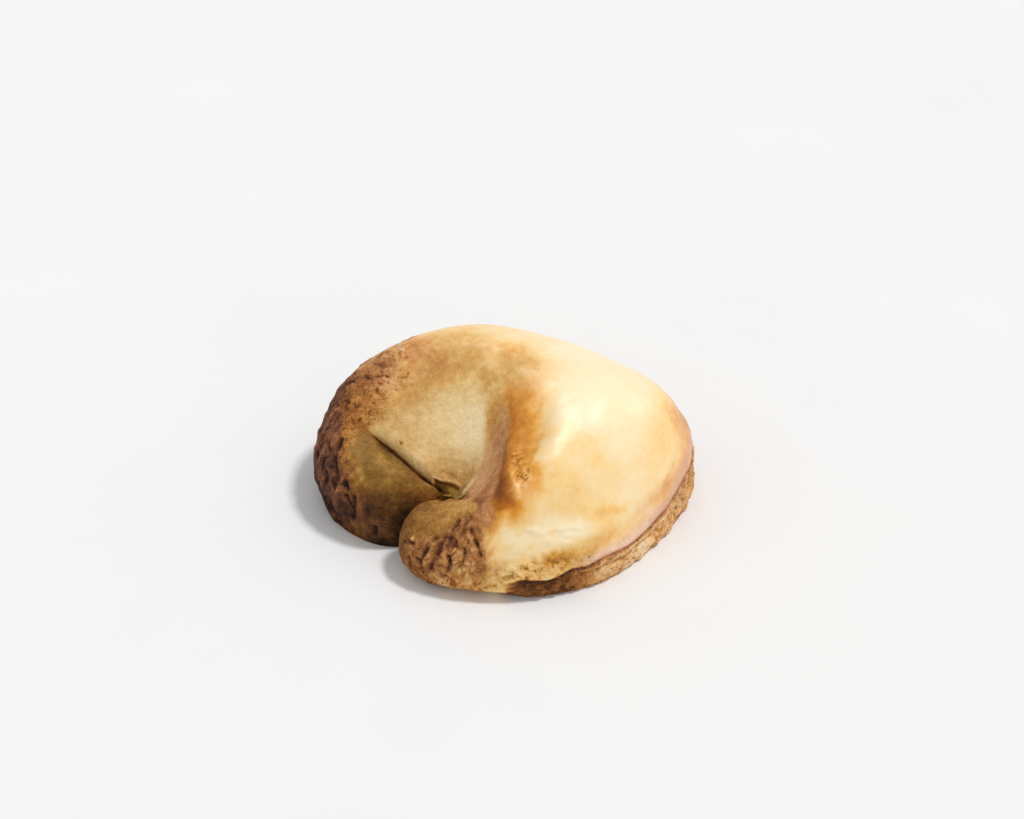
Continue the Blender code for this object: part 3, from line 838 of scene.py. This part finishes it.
    # tip: smooth and olive above the brow, strands and slits below it
    top_bake = 0.4 + 0.14 * fall(across, -30, -12) + 0.05 * wander
    foot = fall(height, 5, 12) * (1.3 * rise(across, -24, -14) - 0.5)
    low_bake = 0.48 - 0.16 * foot + 0.07 * wander + 0.1 * marks.grain + 0.1 * zone.border
    low_bake = low_bake + 0.08 * rough(points, 1.3, 16)
    bake = toned(
        bake,
        # painted shade near the pit, where the notch shades the tip's inner end
        (0.60, 0.9 * side(165, 300, 10) * fall(reach, 9, 13)),
        (toward(top_bake, low_bake, zone.face), zone.tip),
        (0.62, 0.8 * zone.tip * soft(BROW_SHADE, 5)),
        (0.58, 0.45 * soft(BROW, 1.3)),
        (0.62, 0.8 * soft(TIP_RIM_SHADE, 2.4)),
        # lighter on the raised strands: painted highlight
        (0.30, 0.6 * zone.strand),
        # painted shade in the slits
        (0.87, 0.82 * marks.split),
        (0.12, 0.8 * marks.flecks),
    )
    rose = rose * (1 - zone.tip) + (0.24 - 0.2 * np.clip(foot, 0, 1)) * zone.face
    # rosier in the slits: part of their painted shade
    rose = np.maximum(rose, 0.7 * marks.split)

    # crease, tear, pocket and lip: painted shade in the crease, pocket and seam groove, and under the tear
    golden = side(326, 440, 16)
    gold_crumbs = zone.lip * golden * rise(rough(points, 1.6, 47, 2), 0.15, 0.75)
    # painted shadow in the groove of the seam under the roll, rosy brown
    line_width = 0.5 + 0.2 * golden + 0.4 * side(346, 382, 14)
    line = bell((above_line + 0.2 * wander) / line_width) * outside * side(300, 480, 8) * (1 - zone.base)
    bake = toned(
        bake,
        # painted shade: dark in the crease and darker below it on the lobe
        (0.76, 0.55 * zone.under_crease),
        (0.95, 0.9 * zone.crease),
        # painted shade in the dimple under the crease
        (0.74, 0.7 * soft(DIMPLE, 2.4) * (zone.beside > 0)),
        # painted shade in the pocket, darker to the left
        (0.35 + 0.28 * fall(across, -19, -12.5), 0.95 * zone.pocket * (1 - zone.tip)),
        (0.56, 0.5 * zone.tear_fold),
        # pale rim of the tear: bare crumb with a painted highlight
        (0.12, 0.6 * zone.tear_rim),
        # painted shade under the torn edge
        (0.80, 0.7 * zone.tear),
        # painted shadow line beside the lobe's edge
        (0.88, 0.7 * zone.pocket_line),
        # painted shade in the pinhole
        (0.85, 0.7 * stroke(points, PINHOLE, 0.45)),
        (around(LIP_BAKE, headings) + 0.08 * wander, zone.lip),
        (0.36, 0.5 * gold_crumbs),
        # darker in the lip's chipped dips: painted shade
        (0.78 - 0.22 * golden, 0.7 * marks.chips),
        # painted shadow in the seam's groove
        (0.84 - 0.23 * golden, 0.85 * line),
        (0.62, zone.base),
    )
    # painted glints on the roll, and pale pink flecks beside the ridge
    bake = painted(bake, nudged, ((fleck, 0.6, 0.02, 0.6) for fleck in PINK_GLINTS_AND_FLECKS))
    rose = toward(rose * (1 - zone.pocket), 0.12 + 0.16 * golden, zone.lip)
    rose = most((
        # rosy in the seam's painted shadow, on the pink glints and flecks, and a little in the bowl
        rose, 0.8 * line, 0.16 * zone.bowl * (1 - zone.pocket), 0.6 * strokes(nudged, PINK_GLINTS_AND_FLECKS, 0.6),
    ))
    olive = most((
        zone.lobe * (0.25 + 0.6 * rise(height, 12, 27)) * (1 - zone.crag),
        0.85 * zone.bowl * soft(BOWL_SHADE, 9),
        zone.bowl * (0.45 + 0.25 * rise(turned, 60, 140)),
        # olive in the pocket: painted shade
        0.9 * zone.pocket * (1 - zone.tip),
        0.5 * zone.squiggle,
        0.35 * zone.tip * (1 - zone.face),
        0.5 * marks.crumble,
        0.35 * soft(FRONT_GOLD, 2.4),
    ))
    crumb = most((
        zone.lip, 0.9 * zone.crumb, zone.crag, 0.45 * zone.tip, 0.75 * zone.face, 0.5 * zone.blister,
    ))
    glaze = zone.glaze * (1 - zone.lip) + 0.5 * zone.roll + 0.6 * foot * zone.face
    glaze = glaze + zone.lip * golden * (0.55 + 0.3 * side(345, 364, 8)) + gold_crumbs
    glaze, crumb = np.clip(glaze, 0, 1), np.clip(crumb, 0, 1)
    return {"bake": bake, "glaze": glaze, "olive": olive, "rose": rose, "crumb": crumb}


def outward(points):
    """Unit normals of the grid: the cross product of the steps along the spokes and round them, over its
    length and a least area, which keeps it finite where the grid is pinched.
    """
    round_step = np.roll(points, -1, axis=1) - np.roll(points, 1, axis=1)
    normal = np.cross(np.gradient(points, axis=0), round_step)
    return normal / (np.linalg.norm(normal, axis=-1, keepdims=True) + LEAST_AREA)


def skin_mesh(name, points, ends, masks):
    """Mesh of a grid that closes round the spokes: a quad between each two rows and spokes, a fan of
    triangles round each end, and an attribute for each mask, at an end the mean of the row beside it.
    """
    rows, spokes = points.shape[:2]
    i, j = np.meshgrid(np.arange(rows - 1), np.arange(spokes), indexing="ij")
    k = (j + 1) % spokes
    quads = np.stack((i * spokes + j, (i + 1) * spokes + j, (i + 1) * spokes + k, i * spokes + k), -1)
    last = (rows - 1) * spokes
    pit_fan = np.stack((np.full(spokes, rows * spokes), j[0], k[0]), -1)
    under_fan = np.stack((np.full(spokes, rows * spokes + 1), last + k[0], last + j[0]), -1)
    corners = np.concatenate((quads.ravel(), pit_fan.ravel(), under_fan.ravel()))
    sizes = np.repeat((4, 3), (quads.size // 4, 2 * spokes))
    starts = np.concatenate(([0], np.cumsum(sizes)[:-1]))
    places = np.vstack((points.reshape(-1, 3), ends))

    mesh = bpy.data.meshes.new(name)
    mesh.vertices.add(len(places))
    mesh.vertices.foreach_set("co", places.ravel())
    mesh.loops.add(len(corners))
    mesh.loops.foreach_set("vertex_index", corners.astype(np.int32))
    mesh.polygons.add(len(sizes))
    mesh.polygons.foreach_set("loop_start", starts.astype(np.int32))
    mesh.update(calc_edges=True)
    mesh.validate()
    mesh.shade_smooth()
    for key, values in masks.items():
        shares = np.concatenate((values.ravel(), (values[0].mean(), values[-1].mean())))
        mesh.attributes.new(key, "FLOAT", "POINT").data.foreach_set("value", shares.astype(np.float32))
    return mesh


def placed(name, data):
    """An object of this data, put in the scene."""
    thing = bpy.data.objects.new(name, data)
    bpy.context.scene.collection.objects.link(thing)
    return thing


def build_crust(group):
    """The whole crust as one piece, standing for the solid: the smooth form, moved along its normals by the
    relief and kept inside the solid's box, then browned.
    """
    headings = spoke_headings()
    place = smooth_form(headings)
    x, y = pit_place()
    turn = np.radians(headings)
    points = np.stack((x + place.reach * np.cos(turn), y + place.reach * np.sin(turn), place.height), -1)
    zone = zones(points, headings, place)
    out, marks = relief(points, headings, place, zone)
    points = points + out[..., None] * outward(points)
    points = np.clip(points, *(np.array(cad_box) / MM))
    masks = browning(points, headings, place, zone, marks)
    ends = np.array(((x, y, points[0, :, 2].mean()), (x, y, 0)))
    crust = placed("crust", skin_mesh("crust", points * MM, ends * MM, masks))
    crust.data.materials.append(crust_material(group))
    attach(crust, "root")
    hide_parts("panzerotto")


# ---------------- materials

# each ramp's stops: bake, everyday colour from 0 to 255
GLAZED_BROWNING = (
    (0, (252, 240, 208)), (0.15, (250, 227, 182)), (0.27, (248, 208, 138)), (0.4, (234, 164, 60)),
    (0.53, (196, 116, 24)), (0.68, (142, 76, 14)), (0.85, (92, 48, 14)), (1, (50, 26, 10)),
)
BARE_BROWNING = (
    (0, (254, 240, 200)), (0.15, (240, 210, 150)), (0.3, (214, 166, 94)), (0.45, (182, 124, 60)),
    (0.6, (140, 88, 38)), (0.75, (98, 58, 28)), (0.9, (60, 35, 18)), (1, (34, 20, 10)),
)
OLIVE_BROWNING = (
    (0, (248, 232, 176)), (0.2, (212, 188, 124)), (0.35, (180, 148, 84)), (0.5, (146, 112, 46)),
    (0.65, (114, 82, 30)), (0.8, (80, 55, 20)), (1, (44, 29, 12)),
)
ROSY_BROWNING = (
    (0, (252, 222, 200)), (0.2, (240, 200, 172)), (0.35, (218, 164, 132)), (0.5, (176, 118, 88)),
    (0.65, (128, 80, 60)), (0.8, (88, 54, 44)), (1, (46, 28, 24)),
)
TABLE_SHADES = ((0, (234, 234, 235)), (1, (239, 239, 238)))

# noises: lumps in a metre, detail, amount
BLOTCHES = (110, 4, 0.36)
FRECKLES = (480, 4, 0.34)
GRAINS = (1600, 2, 0.2)
GRIT = (1400, 2, 0.3)
PORES = (700, 3, 9)
UNEVEN_SHEEN = (260, 3, 0.2)
SKIN_HEIGHT = (330, 5, 0.45)
BARE_HEIGHT = (900, 4, 0.5)
CRUMB_HEIGHT = (620, 5, 2.6)
TABLE_CLOUDS = (14, 3, 1)
TABLE_SHEEN = (40, 3, 0.16)
TABLE_HEIGHT = (500, 3, 1)
# bumps: strength, and the distance in metres that a height of 1 stands for
CRUST_BUMP = (0.8, 0.0006)
TABLE_BUMP = (0.15, 0.0002)


def linear(colour):
    """Scene-linear colour with alpha 1 of an everyday 0 to 255 colour, by the usual screen curve."""
    share = np.array(colour) / 255
    value = np.where(share <= 0.04045, share / 12.92, ((share + 0.055) / 1.055) ** 2.4)
    return (*value.tolist(), 1)


def link(tree, source, target):
    """Join an output to an input."""
    tree.links.new(source, target)


def math_node(tree, operation, a, b, clamp=False):
    """A Math node; a and b are sockets or plain numbers."""
    node = tree.nodes.new("ShaderNodeMath")
    node.operation = operation
    node.use_clamp = clamp
    for socket, value in zip(node.inputs, (a, b)):
        if isinstance(value, (int, float)):
            socket.default_value = value
        else:
            link(tree, value, socket)
    return node.outputs[0]


def mottle_group():
    """Node group: noise with so many lumps in a metre, less its middle value 0.5, times an amount."""
    group = bpy.data.node_groups.new("mottle", "ShaderNodeTree")
    group.interface.new_socket("Vector", in_out="INPUT", socket_type="NodeSocketVector")
    for name in ("Per metre", "Detail", "Amount"):
        group.interface.new_socket(name, in_out="INPUT", socket_type="NodeSocketFloat")
    group.interface.new_socket("Value", in_out="OUTPUT", socket_type="NodeSocketFloat")
    inside = group.nodes.new("NodeGroupInput")
    noise = group.nodes.new("ShaderNodeTexNoise")
    outside = group.nodes.new("NodeGroupOutput")
    for source, target in (("Vector", "Vector"), ("Per metre", "Scale"), ("Detail", "Detail")):
        link(group, inside.outputs[source], noise.inputs[target])
    centred = math_node(group, "SUBTRACT", noise.outputs["Fac"], 0.5)
    link(group, math_node(group, "MULTIPLY", centred, inside.outputs["Amount"]), outside.inputs["Value"])
    return group


def mottle(tree, group, vector, per_metre, detail, amount):
    """One use of the mottle group."""
    node = tree.nodes.new("ShaderNodeGroup")
    node.node_tree = group
    link(tree, vector, node.inputs["Vector"])
    for name, value in (("Per metre", per_metre), ("Detail", detail), ("Amount", amount)):
        node.inputs[name].default_value = value
    return node.outputs["Value"]


def ramp(tree, factor, stops):
    """A colour ramp through (place, everyday colour) stops."""
    node = tree.nodes.new("ShaderNodeValToRGB")
    link(tree, factor, node.inputs["Fac"])
    elements = node.color_ramp.elements
    while len(elements) < len(stops):
        elements.new(0.5)
    for element, (place, colour) in zip(elements, stops):
        element.position = place
        element.color = linear(colour)
    return node.outputs["Color"]


def mix_colour(tree, share, a, b):
    """Mix of two colours by a share."""
    node = tree.nodes.new("ShaderNodeMix")
    node.data_type = "RGBA"
    link(tree, share, node.inputs["Factor"])
    link(tree, a, node.inputs["A"])
    link(tree, b, node.inputs["B"])
    return node.outputs["Result"]


def attribute(tree, name):
    """A mask of the skin."""
    node = tree.nodes.new("ShaderNodeAttribute")
    node.attribute_name = name
    return node.outputs["Fac"]


def bumped(tree, shader, height, strength, distance):
    """Stir the shader's normal by a height."""
    bump = tree.nodes.new("ShaderNodeBump")
    bump.inputs["Strength"].default_value = strength
    bump.inputs["Distance"].default_value = distance
    link(tree, height, bump.inputs["Height"])
    link(tree, bump.outputs["Normal"], shader.inputs["Normal"])


def new_material(name, group):
    """A material with its node tree and shader, and a maker of mottles on the piece's own coordinates."""
    material = bpy.data.materials.new(name)
    material.use_nodes = True
    tree = material.node_tree
    where = tree.nodes.new("ShaderNodeTexCoord").outputs["Object"]
    return material, tree, tree.nodes["Principled BSDF"], partial(mottle, tree, group, where)


def crust_material(group):
    """Baked dough: egg-washed and golden outside, bare and matte inside the bend, at the tip and the lip.

    The level of browning is the bake with blotches, freckles, grit and pores on it. It picks a colour from
    each of four ramps, and the masks mix them.
    """
    material, tree, shader, noise = new_material("crust_finish", group)
    plus, less, times = (partial(math_node, tree, kind) for kind in ("ADD", "SUBTRACT", "MULTIPLY"))
    bake, glaze, olive, rose, crumb = (
        attribute(tree, name) for name in ("bake", "glaze", "olive", "rose", "crumb")
    )

    gritty = times(noise(*GRIT), crumb)
    fewer = less(1.1, times(glaze, 0.55))
    fine_marks = plus(noise(*FRECKLES), noise(*GRAINS))
    patchy = plus(noise(*BLOTCHES), times(fine_marks, fewer))
    pores = times(less(noise(*PORES), 0.9, clamp=True), crumb)
    level = plus(bake, times(patchy, plus(bake, 0.36)))
    level = plus(plus(level, gritty), times(pores, 0.17), clamp=True)
    colour = mix_colour(tree, glaze, ramp(tree, level, BARE_BROWNING), ramp(tree, level, GLAZED_BROWNING))
    colour = mix_colour(tree, olive, colour, ramp(tree, level, OLIVE_BROWNING))
    colour = mix_colour(tree, rose, colour, ramp(tree, level, ROSY_BROWNING))
    link(tree, colour, shader.inputs["Base Color"])

    dull = less(0.78, times(glaze, 0.36))
    link(tree, plus(dull, noise(*UNEVEN_SHEEN), clamp=True), shader.inputs["Roughness"])
    link(tree, times(glaze, less(0.72, bake, clamp=True)), shader.inputs["Coat Weight"])
    shader.inputs["Coat Roughness"].default_value = 0.36
    shader.inputs["Specular IOR Level"].default_value = 0.14

    grain = plus(times(noise(*BARE_HEIGHT), less(1.1, glaze)), noise(*SKIN_HEIGHT))
    crags = less(times(noise(*CRUMB_HEIGHT), crumb), times(pores, 0.55))
    crags = less(crags, times(gritty, 1.8))
    bumped(tree, shader, plus(grain, crags), *CRUST_BUMP)
    return material


def floor_material(group):
    """Plain pale table top with a faint, fine unevenness in its colour, roughness and surface."""
    material, tree, shader, noise = new_material("table", group)
    plus = partial(math_node, tree, "ADD")
    clouds = plus(noise(*TABLE_CLOUDS), 0.5, clamp=True)
    link(tree, ramp(tree, clouds, TABLE_SHADES), shader.inputs["Base Color"])
    link(tree, plus(noise(*TABLE_SHEEN), 0.88, clamp=True), shader.inputs["Roughness"])
    shader.inputs["Specular IOR Level"].default_value = 0
    bumped(tree, shader, noise(*TABLE_HEIGHT), *TABLE_BUMP)
    return material


# ---------------- floor, light and camera, in metres

TABLE_HALF = 3
KEY_FROM = (0.42, 0.02, 0.9)
KEY_STRENGTH = 1.58
KEY_SPREAD = 10
FILL_STRENGTH = 0.64
SOFTBOX_DISTANCE = 1.2
FOOD_MIDDLE = (0, 0, 0.03)
SOFTBOXES = (
    # towards, width, height, strength
    ((-0.24, 0.38, 0.90), 0.26, 0.28, 9.0),
    ((0.26, 0.47, 0.84), 0.20, 0.24, 3.6),
    ((0.72, 0.53, 0.46), 0.24, 0.42, 1.0),
    ((0.34, 0.54, 0.77), 1.00, 0.40, 1.2),
)

CAMERA_DISTANCE = 0.85
CAMERA_ELEVATION = 36.84
CAMERA_PITCH = 35
CAMERA_ASIDE = 0.0023
CAMERA_FARTHER = 0.0003
LENS = 97.5
SENSOR = 36


def build_floor(group):
    """A wide flat table top under the food."""
    mesh = bpy.data.meshes.new("table")
    corners = [(x * TABLE_HALF, y * TABLE_HALF, 0) for x, y in ((-1, -1), (1, -1), (1, 1), (-1, 1))]
    mesh.from_pydata(corners, [], [(0, 1, 2, 3)])
    floor = placed("table", mesh)
    floor.data.materials.append(floor_material(group))


def aim(thing, start, end):
    """Stand a light at start and turn its -Z axis to end."""
    thing.location = start
    thing.rotation_euler = (Vector(end) - Vector(start)).to_track_quat("-Z", "Y").to_euler()


def build_light():
    """A soft key from the right, an even fill all round, and softboxes that show only in the glaze."""
    key = placed("key", bpy.data.lights.new("key", "SUN"))
    key.data.energy = KEY_STRENGTH
    key.data.angle = np.radians(KEY_SPREAD)
    key.visible_glossy = False
    aim(key, KEY_FROM, (0, 0, 0))
    for count, (towards, width, height, strength) in enumerate(SOFTBOXES):
        name = f"softbox_{count}"
        softbox = placed(name, bpy.data.lights.new(name, "AREA"))
        softbox.data.shape = "RECTANGLE"
        softbox.data.size = width
        softbox.data.size_y = height
        softbox.data.energy = strength
        softbox.visible_diffuse = False
        aim(softbox, Vector(towards).normalized() * SOFTBOX_DISTANCE, FOOD_MIDDLE)
    world = bpy.data.worlds.new("studio")
    world.use_nodes = True
    background = world.node_tree.nodes["Background"]
    background.inputs["Color"].default_value = (1, 1, 1, 1)
    background.inputs["Strength"].default_value = FILL_STRENGTH
    bpy.context.scene.world = world
    bpy.context.scene.view_settings.view_transform = "Standard"


def build_camera():
    """A long lens from in front and above, as in the photograph."""
    camera = placed("camera", bpy.data.cameras.new("camera"))
    camera.data.lens = LENS
    camera.data.sensor_width = SENSOR
    elevation = np.radians(CAMERA_ELEVATION)
    away = CAMERA_DISTANCE * np.cos(elevation) + CAMERA_FARTHER
    camera.location = (CAMERA_ASIDE, -away, CAMERA_DISTANCE * np.sin(elevation))
    camera.rotation_euler = (np.radians(90 - CAMERA_PITCH), 0, 0)
    bpy.context.scene.camera = camera


mottle_noise = mottle_group()
build_crust(mottle_noise)
build_floor(mottle_noise)
build_light()
build_camera()
